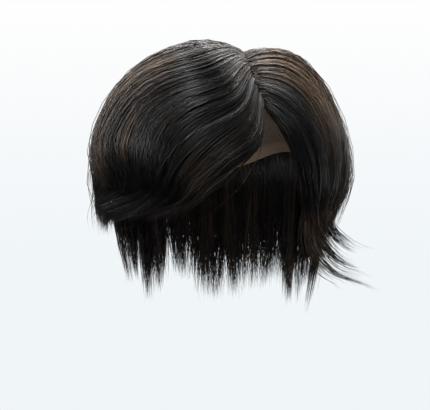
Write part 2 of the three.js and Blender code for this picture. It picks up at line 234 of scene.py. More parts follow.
# The meshes of strands. Each has its own random numbers by its place in this table.
# node, flow and locks: the node that it stands for, with that node's flow lines and locks
# cover: the share across the flow lines that it covers
# strands, clumps and rings: how many strands and clumps it has, and rings a strand
# pinch: where along them the clumps start to draw together
# loose: the share of its strands that don't
# tuft_tip, clump_tip and lock_tip: how wide a tuft, a clump and a lock still are at the tip
# reach: where its longest strands end, at the first and at the last flow line
# shorter: how much shorter others may be
# draw_in: how far its first and its last side draw in below the root
# sway and flare: how far strands sway to the side and tips turn up off the head, in millimetres
# tip_tint: how much browner the tips are
SECTIONS = {
    "fringe": {
        "node": "fringe", "flow": FRINGE, "locks": 5, "cover": (-0.02, 1.06),
        "strands": 1750, "clumps": 18, "rings": 13, "pinch": 0.5, "loose": 0.2,
        "tuft_tip": 0.25, "clump_tip": 0.5, "lock_tip": 0.85, "reach": (1.04, 1.08), "shorter": 0.3,
        "draw_in": (0.2, 0), "sway": 1.2, "flare": 2, "tip_tint": 0.1,
    },
    "top_right_front": {
        "node": "top_right", "flow": TOP_RIGHT, "locks": 8, "cover": (-0.045, 0.54),
        "strands": 1750, "clumps": 17, "rings": 15, "pinch": 0.5, "loose": 0.2,
        "tuft_tip": 0.25, "clump_tip": 0.6, "lock_tip": 0.9, "reach": (1.06, 1.06), "shorter": 0.28,
        "draw_in": (0, 0), "sway": 1.2, "flare": 3, "tip_tint": 0.1,
    },
    "top_right_back": {
        "node": "top_right", "flow": TOP_RIGHT, "locks": 8, "cover": (0.465, 1.03),
        "strands": 1400, "clumps": 15, "rings": 10, "pinch": 0.5, "loose": 0.35,
        "tuft_tip": 0.4, "clump_tip": 0.6, "lock_tip": 0.9, "reach": (1.06, 1.06), "shorter": 0.32,
        "draw_in": (0, 0), "sway": 1.4, "flare": 3, "tip_tint": 0.1,
    },
    "crown_back": {
        "node": "crown_back", "flow": ("back_right", "back_middle", "back_left"), "locks": 6,
        "cover": (-0.04, 1.04), "strands": 2000, "clumps": 22, "rings": 9, "pinch": 0.6, "loose": 0.3,
        "tuft_tip": 0.5, "clump_tip": 0.6, "lock_tip": 0.9, "reach": (1.06, 1.06), "shorter": 0.4,
        "draw_in": (0, 0), "sway": 1.8, "flare": 1, "tip_tint": 0.1,
    },
    "top_left": {
        "node": "top_left", "flow": ("back_left", "ear_back_left", "ear_left", "ear_front_left"), "locks": 6,
        "cover": (-0.04, 1.02), "strands": 2400, "clumps": 24, "rings": 10, "pinch": 0.5, "loose": 0.25,
        "tuft_tip": 0.3, "clump_tip": 0.55, "lock_tip": 0.9, "reach": (1.08, 1.06), "shorter": 0.3,
        "draw_in": (0, 0), "sway": 1.4, "flare": 2, "tip_tint": 0.1,
    },
    "left_temple": {
        "node": "left_temple", "flow": LEFT_TEMPLE, "locks": 4, "cover": (-0.03, 1),
        "strands": 1150, "clumps": 12, "rings": 11, "pinch": 0.5, "loose": 0.2,
        "tuft_tip": 0.25, "clump_tip": 0.45, "lock_tip": 0.7, "reach": (1.06, 1.04), "shorter": 0.25,
        "draw_in": (0, 0.12), "sway": 1.2, "flare": 2, "tip_tint": 0.1,
    },
    "right_ear_lock": {
        "node": "right_ear_lock", "flow": ("under_temple_right", "under_ear_right"), "locks": 3,
        "cover": (0, 1), "strands": 750, "clumps": 10, "rings": 11, "pinch": 0.4, "loose": 0.3,
        "tuft_tip": 0.3, "clump_tip": 0.45, "lock_tip": 0.7, "reach": (1.08, 1.1), "shorter": 0.4,
        "draw_in": (0, 0), "sway": 1.6, "flare": 4, "tip_tint": 0.2,
    },
    "left_flick": {
        "node": "left_flick", "flow": ("flick_front", "flick_back"), "locks": 3,
        "cover": (0, 1), "strands": 480, "clumps": 9, "rings": 12, "pinch": 0.35, "loose": 0.12,
        "tuft_tip": 0.3, "clump_tip": 0.2, "lock_tip": 0.95, "reach": (1.07, 0.82), "shorter": 0.45,
        "draw_in": (0, 0), "sway": 1.2, "flare": 0, "tip_tint": 0.7,
    },
    "nape_side_right": {
        "node": "nape_side_right", "flow": ("jaw_right", "nape_right"), "locks": 3,
        "cover": (0, 1.04), "strands": 800, "clumps": 9, "rings": 8, "pinch": 0.6, "loose": 0.3,
        "tuft_tip": 0.5, "clump_tip": 0.6, "lock_tip": 0.55, "reach": (1.04, 1.03), "shorter": 0.5,
        "draw_in": (0, 0), "sway": 2.2, "flare": 0, "tip_tint": 0.3,
    },
    "nape_back": {
        "node": "nape_back", "flow": ("nape_right", "nape_middle", "nape_left"), "locks": 6,
        "cover": (-0.03, 1.03), "strands": 3850, "clumps": 34, "rings": 6, "pinch": 0.6, "loose": 0.5,
        "tuft_tip": 0.8, "clump_tip": 0.9, "lock_tip": 0.95, "reach": (1.05, 1.05), "shorter": 0.4,
        "draw_in": (0, 0), "sway": 3, "flare": 0, "tip_tint": 0.2,
    },
    "nape_side_left": {
        "node": "nape_side_left", "flow": ("nape_left", "jaw_left"), "locks": 3,
        "cover": (-0.04, 1), "strands": 800, "clumps": 9, "rings": 8, "pinch": 0.6, "loose": 0.3,
        "tuft_tip": 0.5, "clump_tip": 0.6, "lock_tip": 0.55, "reach": (1.03, 1.03), "shorter": 0.5,
        "draw_in": (0, 0), "sway": 2.2, "flare": 0, "tip_tint": 0.3,
    },
    "fringe_wisps": {
        "node": "fringe", "flow": FRINGE, "locks": 5, "cover": (-0.035, 0.04),
        "strands": 54, "clumps": 9, "rings": 13, "pinch": 0.4, "loose": 0.3,
        "tuft_tip": 0.4, "clump_tip": 0.6, "lock_tip": 1, "reach": (1, 1), "shorter": 0.5,
        "draw_in": (0.165, 0), "sway": 2.6, "flare": 1, "tip_tint": 0.3,
    },
    "temple_wisps": {
        "node": "left_temple", "flow": LEFT_TEMPLE, "locks": 4, "cover": (0.95, 1.03),
        "strands": 50, "clumps": 9, "rings": 11, "pinch": 0.4, "loose": 0.3,
        "tuft_tip": 0.4, "clump_tip": 0.6, "lock_tip": 1, "reach": (0.85, 0.85), "shorter": 0.6,
        "draw_in": (0, 0.09), "sway": 2, "flare": 0, "tip_tint": 0.3,
    },
}

# Where the hair waves: azimuth, drop, reach round the head and down it, and the shift round the
# head and off it, all four in millimetres
WAVES = (
    (-40, 0.25, 90, 18, 0, 2.5),
    (-60, 0.84, 28, 10, -3, 4.5),
    (-56, 1.02, 24, 8, 5, -8),
    (-28, 1.07, 26, 9, 10, -2),
    (-44, 1.27, 38, 11, -24, 5),
)

# Where the hair is browner or darker, partly its own tone and partly painted light and shade: a painted brown
# # glow where light from behind would shine through thin hair, painted highlights on the bulges of the waves,
# # and painted shade in their hollows and in a dark band beside the parting.
# # Columns: azimuth, drop, reach on the scalp in millimetres and how much
TONE_AND_PAINTED_LIGHT_PLACES = (
    (-48, 0.52, 20, 0.34),
    (-62, 0.66, 10, -0.15),
    (-88, 0.6, 30, 0.26),
    (-88, 0.95, 22, 0.26),
    (-45, 0.72, 7, 0.3),
    (-47, 0.81, 7, 0.34),
    (-60, 0.86, 9, 0.34),
    (-66, 0.94, 9, 0.38),
    (-37, 0.84, 6, -0.2),
    (-52, 1.24, 20, 0.2),
    (55, 0.33, 22, 0.33),
    (52, 0.54, 17, 0.38),
    (64, 0.66, 17, 0.42),
    (76, 0.8, 16, 0.3),
    (-13, 0.86, 9, 0.3),
    (6, 0.93, 8, 0.35),
    (-8, 1, 9, 0.35),
    (-46, 0.84, 8, 0.3),
    (-34, 1, 22, -0.25),
    (44, 0.62, 9, -0.5),
    (-62, 1.08, 24, -0.25),
    (46, 1, 22, -0.25),
    (54, 1.26, 14, 0.6),
    (54, 1.5, 16, 0.6),
)

# Where the hair is less sleek: azimuth, drop, reach on the scalp in millimetres and how much
DULL_PLACES = (
    (20, 0.44, 8, 3),
    (20, 0.56, 8, 3),
    (21, 0.66, 8, 3),
    (38, 0.64, 10, 2.4),
    (12, 0.61, 7, 1.5),
    (5, 0.67, 8, 1.5),
    (-5, 0.72, 9, 1.2),
    (14, 0.7, 6, 1.2),
    (-60, 0.6, 10, 1.6),
    (-64, 0.76, 9, 1.4),
    (-130, 0.36, 20, 1),
    (150, 0.3, 20, 1),
    (165, 0.55, 30, 0.9),
)

# The finish of the hair. Colours are from the darkest to the brownest, noise is in waves a metre.
HAIR_COLOURS = (
    (0, (0.003, 0.003, 0.0035)),
    (0.3, (0.008, 0.006, 0.0055)),
    (0.6, (0.045, 0.03, 0.02)),
    (1, (0.135, 0.09, 0.058)),
)
HAIR_CLOUDS = 60
HAIR_DETAIL = 2
HAIR_CLOUDINESS = 0.12
SHEEN_CLOUDS = 180
SHEEN_DETAIL = 3
HAIR_ROUGHNESS = (0.28, 0.5)
DULL_ROUGHNESS = 0.15
HAIR_IOR = 1.55

# The finish of the base
NET_CELLS = 620  # a metre
NET_UNEVENNESS = 0.35
NET_THREADS = ((0, (1, 1, 1)), (0.12, (0.9, 0.9, 0.9)), (0.22, (0, 0, 0)))
NET_HOLES = (0.02, 0.016, 0.013, 1)
OUTER_THREADS = (0.05, 0.04, 0.034, 1)
INNER_THREADS = (0.3, 0.22, 0.16, 1)
TAPE_COLOUR = (0.32, 0.22, 0.15, 1)
WEAR_CLOUDS = 45
WEAR_DETAIL = 4
WEAR = 0.5
NET_ROUGHNESS = 0.85
TAPE_ROUGHNESS = 0.42
THREAD_BUMP = 0.5
THREAD_HEIGHT = 0.4

# The studio
FLOOR_HEIGHT = -300
FLOOR_REACH = 1700
SWEEP_RADIUS = 500
SWEEP_TOP = 3000
SWEEP_STEPS = 16
SWEEP_COLUMNS = 96
PALE_TOP = 150
FLOOR_COLOUR = (0.871, 0.913, 0.939)
WALL_COLOUR = (0.991, 0.991, 0.991)
WORLD_COLOUR = (0.93, 0.96, 1, 1)
WORLD_LIGHT = 0.1
WHITE = (1, 1, 1)
WARM = (1, 0.97, 0.93)

# The softboxes: name, place, aim, width, power in watts and colour
INSIDE_FILL = "inside_fill"
LIGHTS = (
    (INSIDE_FILL, (0, -900, -420), (0, 40, -60), 400, 3.5, WHITE),
    ("top_softbox", (-240, 640, 850), (-10, 0, -20), 1000, 142, WHITE),
    ("front_softbox", (-350, -900, 1100), (0, 0, -60), 450, 14, WHITE),
    ("side_left", (-1250, -500, 350), (-60, 0, -80), 300, 7, WHITE),
    ("side_right", (1300, -300, -100), (60, 0, -100), 300, 2, WARM),
    ("rim_left", (-1000, 650, 350), (-60, 0, -60), 600, 9, WARM),
    ("rim_right", (1000, 650, 350), (60, 0, -60), 600, 16, WARM),
)


def smoothstep(value, low, high):
    share = np.clip((value - low) / (high - low), 0, 1)
    return share * share * (3 - 2 * share)


def lerp(low, high, share):
    return low + (high - low) * share


def unit(vectors):
    return vectors / np.maximum(np.linalg.norm(vectors, axis=-1, keepdims=True), LEAST_LENGTH)


# The head and its flat map


def on_head(azimuth, drop, lift):
    """Points at a lift over the head, and its outward normals. Azimuth is in radians."""
    polar = np.minimum(drop, 1) * math.pi / 2
    fall = np.maximum(drop - 1, 0)
    half_breadth = HEAD_BREADTH / 2 * (1 - SIDE_TAPER * fall)
    front = FOREHEAD_DEPTH * (1 - FRONT_TAPER * fall)
    back = OCCIPUT_DEPTH * (1 - NAPE_TAPER * fall)
    half_length = np.where(np.cos(azimuth) >= 0, front, back)
    x = half_breadth * np.sin(polar) * np.sin(azimuth)
    y = -half_length * np.sin(polar) * np.cos(azimuth)
    z = -VAULT_HEIGHT * (1 - np.cos(polar)) - HAIR_FALL * fall
    up = np.maximum(z + VAULT_HEIGHT, 0) / VAULT_HEIGHT**2
    normal = unit(np.stack([x / half_breadth**2, y / half_length**2, up], axis=-1))
    return np.stack([x, y, z], axis=-1) + normal * np.asarray(lift)[..., None], normal


def on_map(place, lift):
    turn = math.radians(place[0])
    reach = place[1] * HAIR_FALL
    return (reach * math.sin(turn), reach * math.cos(turn), lift)


def from_map(places):
    drop = np.maximum(np.hypot(places[..., 0], places[..., 1]) / HAIR_FALL, LEAST_DROP)
    return on_head(np.arctan2(places[..., 0], places[..., 1]), drop, places[..., 2])


def base_edge(azimuth):
    """The drop of the cap's edge at azimuths in radians."""
    side = np.abs((np.degrees(azimuth) + 540) % 360 - 180)
    last = np.clip(np.searchsorted(BASE_EDGE_AZIMUTHS, side), 1, len(BASE_EDGE_AZIMUTHS) - 1)
    azimuths = np.array(BASE_EDGE_AZIMUTHS, float)
    drops = np.array(BASE_EDGE_DROPS)
    share = smoothstep(side, azimuths[last - 1], azimuths[last])
    return lerp(drops[last - 1], drops[last], share)


def curve_through(places, shares):
    """A smooth curve through places (stage, line, 3) at shares (line, point), as in the model."""
    before = 2 * places[:1] - places[1:2]
    after = 2 * places[-1:] - places[-2:-1]
    padded = np.concatenate([before, places, after])
    at = shares * (len(places) - 1)
    piece = np.clip(np.floor(at).astype(int), 0, len(places) - 2)
    done = (at - piece)[..., None]
    line = np.arange(places.shape[1])[:, None]
    a, b, c, d = (padded[piece + step, line] for step in range(4))
    ab, bc, cd = (np.maximum(np.linalg.norm(q - p, axis=-1, keepdims=True) ** 0.5, SAME_POINT)
                  for p, q in ((a, b), (b, c), (c, d)))
    start = ((b - a) / ab - (c - a) / (ab + bc) + (c - b) / bc) * bc
    end = ((c - b) / bc - (d - b) / (bc + cd) + (d - c) / cd) * bc
    square = -3 * b + 3 * c - 2 * start - end
    cube = 2 * b - 2 * c + start + end
    return b + done * (start + done * (square + done * cube))


def flow_grid(flow):
    """The section's map places on a grid: across from its first flow line to its last, and along."""
    root_lift = BASE_WALL + GAP + LOCK_THICKNESS / 2 * ROOT_THICKNESS
    across = np.linspace(0, 1, GRID_ACROSS)[None]
    stages = []
    for stage in range(STAGES):
        rows = [FLOW[name][stage] for name in flow]
        lifts = [row[2] * HAIR_VOLUME if stage else root_lift for row in rows]
        places = np.array([on_map(row, lift) for row, lift in zip(rows, lifts)])
        stages.append(curve_through(places[:, None], across)[0])
    along = np.tile(np.linspace(0, 1, GRID_ALONG), (GRID_ACROSS, 1))
    return curve_through(np.stack(stages), along)


def sample(grid, across, along):
    """Places from the grid, carried on straight past its sides and its end."""
    row = across * (GRID_ACROSS - 1)
    column = along * (GRID_ALONG - 1)
    r = np.clip(np.floor(row).astype(int), 0, GRID_ACROSS - 2)
    c = np.clip(np.floor(column).astype(int), 0, GRID_ALONG - 2)
    u = (row - r)[..., None]
    v = (column - c)[..., None]
    near = lerp(grid[r, c], grid[r, c + 1], v)
    far = lerp(grid[r + 1, c], grid[r + 1, c + 1], v)
    return lerp(near, far, u)


def last_root(grid):
    """For each line across the grid, the share along it at which it leaves the cap."""
    azimuth = np.arctan2(grid[..., 0], grid[..., 1])
    drop = np.hypot(grid[..., 0], grid[..., 1]) / HAIR_FALL
    on_cap = drop < base_edge(azimuth) - EDGE_MARGIN
    return np.argmin(on_cap, axis=1) / (GRID_ALONG - 1)


def near_places(places, rows):
    """The rows' amounts at places on the map, each fading out round its own place."""
    total = np.zeros(places.shape[:-1])
    for azimuth, drop, reach, amount in rows:
        x, y, _ = on_map((azimuth, drop), 0)
        away = np.hypot(places[..., 0] - x, places[..., 1] - y) / reach
        total = total + amount * np.exp(-away * away)
    return total


def add_waves(places, strength):
    """Shifts places on the map where the hair waves, each strand by its own strength."""
    azimuth = np.arctan2(places[..., 0], places[..., 1])
    drop = np.hypot(places[..., 0], places[..., 1]) / HAIR_FALL
    turned = np.zeros(azimuth.shape)
    lifted = np.zeros(azimuth.shape)
    for at, level, reach_round, reach_down, shift, lift in WAVES:
        round_head = (azimuth - math.radians(at)) * HEAD_BREADTH / 2 / reach_round
        down = (drop - level) * HAIR_FALL / reach_down
        weight = np.exp(-round_head**2 - down**2)
        turned += shift * weight * strength
        lifted += lift * weight * strength
    azimuth = azimuth + turned / (HEAD_BREADTH / 2)
    reach = drop * HAIR_FALL
    return np.stack([reach * np.sin(azimuth), reach * np.cos(azimuth), places[..., 2] + lifted], axis=-1)


# What is picked for each strand. The order of the picks settles the result, so it stays.


def pick_clumps(rng, section):
    """Each strand's clump, with the clump's centre and half width. Clumps are of uneven width."""
    count = section["clumps"]
    widths = rng.uniform(*CLUMP_WIDTHS, count)
    edges = np.concatenate([[0], np.cumsum(widths)]) / widths.sum()
    clump = np.clip(np.searchsorted(edges, rng.uniform(0, 1, section["strands"])) - 1, 0, count - 1)
    edges = lerp(*section["cover"], edges)
    centre = (edges[1:] + edges[:-1]) / 2
    half = (edges[1:] - edges[:-1]) / 2
    return clump, centre[clump, None], half[clump, None]


def pick_roots(rng, strands, leaves):
    """Where each strand roots: near its line's start, or late, anywhere up to where it leaves the cap."""
    line = np.clip((strands.centre * (GRID_ACROSS - 1)).astype(int), 0, GRID_ACROSS - 1)
    late = rng.random((strands.count, 1)) < LATE_ROOTS
    late_root = rng.random((strands.count, 1)) ** LATE_ROOT_POWER * leaves[line]
    early_root = rng.uniform(-ROOT_CROSSING, ROOT_SETBACK, (strands.count, 1))
    return late, np.where(late, late_root, early_root)


def pick_ends(rng, section, strands):
    """How far each strand strays, and where it ends."""
    clump_end = rng.uniform(0, CLUMP_SHORTER, section["clumps"])[strands.clump, None]
    strays = rng.random((strands.count, 1)) < STRAY_STRANDS
    stray = strays * rng.uniform(LEAST_STRAY, 1, (strands.count, 1))
    reach = lerp(*section["reach"], np.clip(strands.centre, 0, 1)) + STRAY_LONGER * stray
    shorter = section["shorter"] * rng.random((strands.count, 1)) ** SHORTER_POWER
    return stray, reach - shorter - clump_end - ODD_SHORTER * strands.odd


def pick_strands(rng, section, leaves):
    """A section's strands, each with its clump and lock, its root and end and where its rings lie."""
    strands = SimpleNamespace(count=section["strands"])
    strands.clump, strands.centre, strands.half = pick_clumps(rng, section)
    strands.offset = rng.uniform(-1, 1, (strands.count, 1))
    lock = np.clip(np.floor(strands.centre * section["locks"]), 0, section["locks"] - 1)
    strands.lock = (lock + 0.5) / section["locks"]
    strands.odd = lock.astype(int) % 2
    strands.late, strands.root = pick_roots(rng, strands, leaves)
    strands.stray, end = pick_ends(rng, section, strands)
    strands.loose = rng.random((strands.count, 1)) < section["loose"]
    strands.step = np.linspace(0, 1, section["rings"] + 1)[None] ** RING_POWER
    strands.along = strands.root + (end - strands.root) * strands.step
    return strands


def sway(rng, turns, shares, of=None):
    """A slow side-to-side run for each strand, still at the root. Strands of a group share it."""
    count = len(shares) if of is None else of.max() + 1
    first = rng.uniform(*turns, (count, 1))
    phase = rng.uniform(0, 2 * math.pi, (count, 1))
    if of is not None:
        first = first[of]
        phase = phase[of]
    run = np.sin(2 * math.pi * first * shares + phase) - np.sin(phase)
    return run * np.clip(shares * SWAY_GROWTH, 0, 1)


def pick_side_sway(rng, section, strands):
    with_clump = np.where(strands.loose, LOOSE_SWAY, 1)
    own = sway(rng, OWN_TURNS, strands.along) * OWN_SWAY
    shared = sway(rng, CLUMP_TURNS, strands.along, strands.clump) * with_clump
    return (own + shared) * section["sway"]


def pick_depth(rng, section, strands):
    """Depth from the middle of the lock: many strands near its face, others down to the head."""
    own = sway(rng, OWN_DEPTH_TURNS, strands.along) * OWN_SWAY
    shared = sway(rng, CLUMP_TURNS, strands.along, strands.clump) * CLUMP_DEPTH_SWAY
    swell = lerp(ROOT_THICKNESS, 1, smoothstep(strands.along, 0, SWELL_END))
    taper = lerp(1, TIP_THICKNESS, smoothstep(strands.along, TAPER_START, 1))
    rank = 1 - 2 * rng.random((strands.count, 1)) ** RANK_POWER
    rank = np.where(strands.late, rank - LATE_DEEPER, rank)
    seat = rng.uniform(-1, 1, section["clumps"])[strands.clump, None]
    crown = 1 - strands.offset**2 - 0.5  # a clump's middle stands out, its sides sink in
    depth = swell * taper * LOCK_THICKNESS / 2 * (rank * RANK_DEPTH + SEAT_DEPTH * seat + CROWN_DEPTH * crown)
    return depth - LAYER_STEP * strands.odd * ODD_DEPTH + (own + shared)


def pick_waviness(rng, section, strands):
    """Which strands lie deep in a lock, how much lift each keeps and how much it follows the waves."""
    shared = rng.uniform(*CLUMP_WAVINESS, section["clumps"])[strands.clump, None]
    waviness = shared * rng.uniform(*OWN_WAVINESS, (strands.count, 1))
    deep = rng.random((strands.count, 1)) < DEEP_STRANDS
    kept_lift = np.where(deep, rng.uniform(*DEEP_LIFTS, (strands.count, 1)), 1)
    return deep, kept_lift, waviness * np.where(deep, DEEP_WAVINESS, 1)


def pick_lean(rng, section, strands):
    """How far the tips of clumps lean to the side, and how far strays drift off."""
    lean = rng.normal(0, 1, section["clumps"])[strands.clump, None]
    lean = lean + OWN_LEAN * rng.normal(0, 1, (strands.count, 1))
    lean = TIP_LEAN * section["sway"] * lean * smoothstep(strands.along, *LEAN_RUN)
    drift = STRAY_DRIFT * strands.stray * rng.normal(0, 1, (strands.count, 1))
    return lean, drift * smoothstep(strands.along, *DRIFT_RUN)


def pick_radii(rng, strands):
    thin = lerp(1, TIP_RADIUS, smoothstep(strands.step, THIN_START, 1))
    radius = STRAND_RADIUS * rng.uniform(*RADIUS_SHARES, (strands.count, 1)) * thin
    return radius * np.where(strands.deep, DEEP_RADIUS, 1)


def pick_tone_and_painted_light(rng, section, strands, places):
    """How brown each strand is along its length, from 0 to 1, with painted light and shade in places."""
    own = rng.normal(0, OWN_TINT, (strands.count, 1))
    own = own + LIGHT_TINT * (rng.random((strands.count, 1)) < LIGHT_STRANDS)
    shared = rng.normal(0, CLUMP_TINT, section["clumps"])[strands.clump, None]
    tip = section["tip_tint"] * smoothstep(strands.along, TIP_TINT_START, 1)
    # The places add a painted glow, painted highlights and painted shade to the strands' own tone.
    return np.clip(PLAIN_TINT + own + shared + tip + near_places(places, TONE_AND_PAINTED_LIGHT_PLACES), 0, 1)


# The shape of the strands


def comb_across(section, strands):
    """Where each strand runs across its section, drawn together towards its tip."""
    along = strands.along
    clump_tip = np.where(strands.loose, CLUMP_LAP, section["clump_tip"])
    clump_width = lerp(CLUMP_LAP, clump_tip, smoothstep(along, section["pinch"], 1))
    tuft_tip = np.where(strands.loose, TUFT_LAP, section["tuft_tip"])
    tuft_width = lerp(TUFT_LAP, tuft_tip, smoothstep(along, TUFT_PINCH, 1))
    lock_width = lerp(1, section["lock_tip"], smoothstep(along, TAPER_START, 1))
    tuft = np.round(strands.offset * TUFTS_A_SIDE) / TUFTS_A_SIDE
    inner = (tuft + (strands.offset - tuft) * tuft_width) * clump_width
    across = strands.centre + strands.half * inner
    across = strands.lock + (across - strands.lock) * lock_width
    first_side, last_side = section["draw_in"]
    first_share = np.clip(1 - across, 0, 1) ** DRAW_IN_POWER
    last_share = np.clip(across, 0, 1) ** DRAW_IN_POWER
    return across + smoothstep(along, *DRAW_IN_RUN) * (first_side * first_share - last_side * last_share)


def lift_strands(rng, section, strands, lift):
    """Lifts of a lock's middle, brought down for deep strands, and the least depths that they leave."""
    sunk = lerp(1, strands.kept_lift, smoothstep(strands.along, *SINK_RUN))
    lift = LEAST_LIFT + (lift - LEAST_LIFT) * sunk
    least_depth = LEAST_LIFT - lift
    flare = section["flare"] * smoothstep(strands.along, FLARE_START, 1) ** 2
    lift = lerp(ROOT_LIFT, lift, strands.rise) + flare * rng.random((strands.count, 1))
    return lift + STRAY_LIFT * strands.stray * smoothstep(strands.along, *STRAY_LIFT_RUN), least_depth


def ring_directions(grid, across, strands, normal):
    """Unit vectors off the head and to the side, both square to each strand."""
    ahead, _ = from_map(add_waves(sample(grid, across, strands.along + SHORT_STEP), strands.waviness))
    behind, _ = from_map(add_waves(sample(grid, across, strands.along - SHORT_STEP), strands.waviness))
    tangent = unit(ahead - behind)
    out = unit(normal - tangent * np.sum(tangent * normal, axis=-1, keepdims=True))
    return out, np.cross(tangent, out)


def strand_lines(section, rng):
    """Centre points, ring directions, radii and looks of a section's strands."""
    grid = flow_grid(section["flow"])
    strands = pick_strands(rng, section, last_root(grid))
    across = comb_across(section, strands)
    aside = pick_side_sway(rng, section, strands)
    depth = pick_depth(rng, section, strands)
    strands.deep, strands.kept_lift, strands.waviness = pick_waviness(rng, section, strands)
    risen_by = np.where(strands.late, LATE_RISE, RISE)
    strands.rise = smoothstep(strands.along - strands.root, 0, risen_by)
    places = add_waves(sample(grid, across, strands.along), strands.waviness)
    places[..., 2], least_depth = lift_strands(rng, section, strands, places[..., 2])
    depth = np.maximum(depth, least_depth) * strands.rise

    point, normal = from_map(places)
    out, side = ring_directions(grid, across, strands, normal)
    lean, drift = pick_lean(rng, section, strands)
    aside = aside * (1 + STRAY_SWAY * strands.stray) + lean + drift
    point = point + out * depth[..., None] + side * aside[..., None]
    radius = pick_radii(rng, strands)
    # The strands' own tone, with painted light and shade where the places put it.
    tone_and_painted_light = pick_tone_and_painted_light(rng, section, strands, places)
    dull = 1 - smoothstep(strands.along, *ROOT_DULL_RUN) + near_places(places, DULL_PLACES)
    return point, out, side, radius, {"tone_and_painted_light": tone_and_painted_light, "dull": dull}


# Meshes


def mesh_from(name, vertices, quads, triangles):
    mesh = bpy.data.meshes.new(name)
    mesh.vertices.add(len(vertices))
    mesh.vertices.foreach_set("co", vertices.astype(np.float32).ravel())
    loops = np.concatenate([quads.ravel(), triangles.ravel()]).astype(np.int32)
    mesh.loops.add(len(loops))
    mesh.loops.foreach_set("vertex_index", loops)
    starts = np.concatenate([np.arange(len(quads)) * 4, len(quads) * 4 + np.arange(len(triangles)) * 3])
    mesh.polygons.add(len(starts))
    mesh.polygons.foreach_set("loop_start", starts.astype(np.int32))
    mesh.polygons.foreach_set("use_smooth", np.ones(len(starts), bool))
    mesh.update(calc_edges=True)
    return mesh


def add_point_values(mesh, name, values):
    data = mesh.attributes.new(name, "FLOAT", "POINT").data
    data.foreach_set("value", values.astype(np.float32).ravel())


def round_quads(ring_count, columns):
    """Faces between rings of points that close on themselves."""
    ring = np.arange(ring_count - 1)[:, None] * columns
    here = np.arange(columns)[None]
    following = (here + 1) % columns
    corners = [ring + here, ring + here + columns, ring + following + columns, ring + following]
    return np.stack(corners, axis=-1).reshape(-1, 4)


def strand_faces(ring_count):
    """One strand's quads and triangles: open tube, root cap and pointed tip."""
    ring = np.arange(ring_count - 1)[:, None] * STRAND_SIDES
    corner = np.arange(STRAND_SIDES)[None]
    following = (corner + 1) % STRAND_SIDES
    corners = [ring + corner, ring + following, ring + following + STRAND_SIDES, ring + corner + STRAND_SIDES]
    ring_points = ring_count * STRAND_SIDES
    last = ring_points - STRAND_SIDES
    tips = [(last + k, last + (k + 1) % STRAND_SIDES, ring_points) for k in range(STRAND_SIDES)]
    return np.stack(corners, axis=-1).reshape(-1, 4), np.array([(2, 1, 0)] + tips)


def strand_mesh(name, point, out, side, radius, looks):
    """Closed three-sided tubes with pointed tips, joined into one mesh."""
    count = len(point)
    ring_count = point.shape[1] - 1
    angles = 2 * math.pi * np.arange(STRAND_SIDES) / STRAND_SIDES
    ring_out = out[:, :-1, None] * np.cos(angles)[:, None]
    ring_side = side[:, :-1, None] * np.sin(angles)[:, None]
    rings = point[:, :-1, None] + (ring_out + ring_side) * radius[:, :-1, None, None]
    ring_points = ring_count * STRAND_SIDES
    vertices = np.concatenate([rings.reshape(count, ring_points, 3), point[:, -1:]], axis=1)

    quads, triangles = strand_faces(ring_count)
    first = (np.arange(count) * (ring_points + 1))[:, None, None]
    all_quads = (quads[None] + first).reshape(-1, 4)
    all_triangles = (triangles[None] + first).reshape(-1, 3)
    mesh = mesh_from(name, vertices.reshape(-1, 3) * MM, all_quads, all_triangles)
    for look, value in looks.items():
        on_rings = np.repeat(value[:, :-1], STRAND_SIDES, axis=1)
        add_point_values(mesh, look, np.concatenate([on_rings, value[:, -1:]], axis=1))
    add_strand_uvs(mesh, count, quads, triangles, ring_count)
    return mesh


def add_strand_uvs(mesh, count, quads, triangles, ring_count):
    """Every strand has its own narrow column of the texture, from its root up to its tip."""
    columns = int(math.ceil(math.sqrt(count * UV_COLUMN_HEIGHT)))
    rows = int(math.ceil(count / columns))
    height = np.arange(ring_count * STRAND_SIDES + 1) // STRAND_SIDES / ring_count
    corner = np.arange(STRAND_SIDES)
    quad_u = np.stack([corner, corner + 1, corner + 1, corner], axis=-1) / STRAND_SIDES
    quad_u = np.tile(quad_u, (ring_count - 1, 1))
    tip_u = np.stack([corner, corner + 1, corner + 0.5], axis=-1) / STRAND_SIDES
    triangle_u = np.concatenate([[[0, 0.5, 1]], tip_u])
    triangle_v = height[triangles]
    triangle_v[0] = (0, UV_ROOT_CAP, 0)
    strand = np.arange(count)
    left = (strand % columns)[:, None, None] / columns
    bottom = (strand // columns)[:, None, None] / rows

    def placed(u, v):
        wide = (UV_SIDE_MARGIN + (1 - 2 * UV_SIDE_MARGIN) * u)[None] / columns
        high = (UV_END_MARGIN + (1 - 2 * UV_END_MARGIN) * v)[None] / rows
        return np.stack([left + wide, bottom + high], axis=-1).reshape(-1, 2)

    uvs = np.concatenate([placed(quad_u, height[quads]), placed(triangle_u, triangle_v)])
    layer = mesh.uv_layers.new(name="OFBake")
    layer.data.foreach_set("uv", uvs.astype(np.float32).ravel())


def add_piece(name, mesh, material, node):
    piece = bpy.data.objects.new(name, mesh)
    bpy.context.scene.collection.objects.link(piece)
    mesh.materials.append(material)
    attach(piece, "root")
    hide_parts(node)


def build_hair(material):
    for index, (name, section) in enumerate(SECTIONS.items()):
        rng = np.random.default_rng(SEED + index)
        mesh = strand_mesh(name + "_strands", *strand_lines(section, rng))
        add_piece(name + "_strands", mesh, material, section["node"])


# The base cap


def cap_fans(ring_count):
    """The triangles that close the cap's outer and its inner face at the crown."""
    here = np.arange(BASE_COLUMNS)
    following = (here + 1) % BASE_COLUMNS
    last = (ring_count - 1) * BASE_COLUMNS
    crown = np.full(BASE_COLUMNS, ring_count * BASE_COLUMNS)
    outer = np.stack([crown, here, following], axis=-1)
    inner = np.stack([crown + 1, last + following, last + here], axis=-1)
    return np.concatenate([outer, inner])


